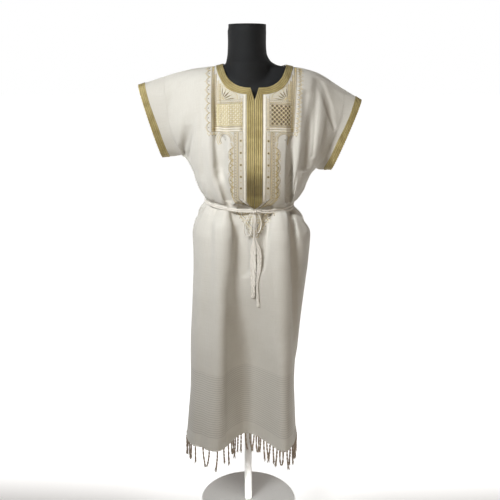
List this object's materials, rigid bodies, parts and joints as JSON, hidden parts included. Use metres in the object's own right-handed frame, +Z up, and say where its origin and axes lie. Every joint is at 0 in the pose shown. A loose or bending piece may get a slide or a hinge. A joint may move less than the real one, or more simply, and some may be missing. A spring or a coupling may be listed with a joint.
{
  "type": "kaftan dress on a limbless dress form",
  "caption": "Long cotton kaftan dress with braid at neck, front and cuffs, a tied cord belt and a fringed hem, worn on a limbless dress form with a pole stand.",
  "frame": {"origin": "middle of the underside of the stand's round foot, on the floor", "axes": "+Z up along the pole, -Y out of the dress's front, +X to the right of a viewer in front"},
  "size_m": [0.6564, 0.32, 1.555],
  "materials": {
    "cotton": "plain-woven cream cotton, matt",
    "gold_braid": "stitched gold braid with a soft thread sheen",
    "belt_cotton": "narrow cream cotton band, matt",
    "fringe_cotton": "twisted cotton warp ends, matt",
    "form_black": "black, satin",
    "stand_white": "white satin lacquer"
  },
  "bodies": {
    "root": {"front_panel": "cotton", "back_panel": "cotton", "sleeve_left": "cotton", "sleeve_right": "cotton", "neck_braid": "gold_braid", "placket_braid": "gold_braid", "cuff_braid_left": "gold_braid", "cuff_braid_right": "gold_braid", "belt": "belt_cotton", "belt_knot": "belt_cotton", "belt_loop_left": "belt_cotton", "belt_loop_right": "belt_cotton", "belt_end_left": "belt_cotton", "belt_end_right": "belt_cotton", "fringe_front": "fringe_cotton", "fringe_back": "fringe_cotton", "form_body": "form_black", "stand_pole": "stand_white", "stand_foot": "stand_white"}
  },
  "joints": []
}
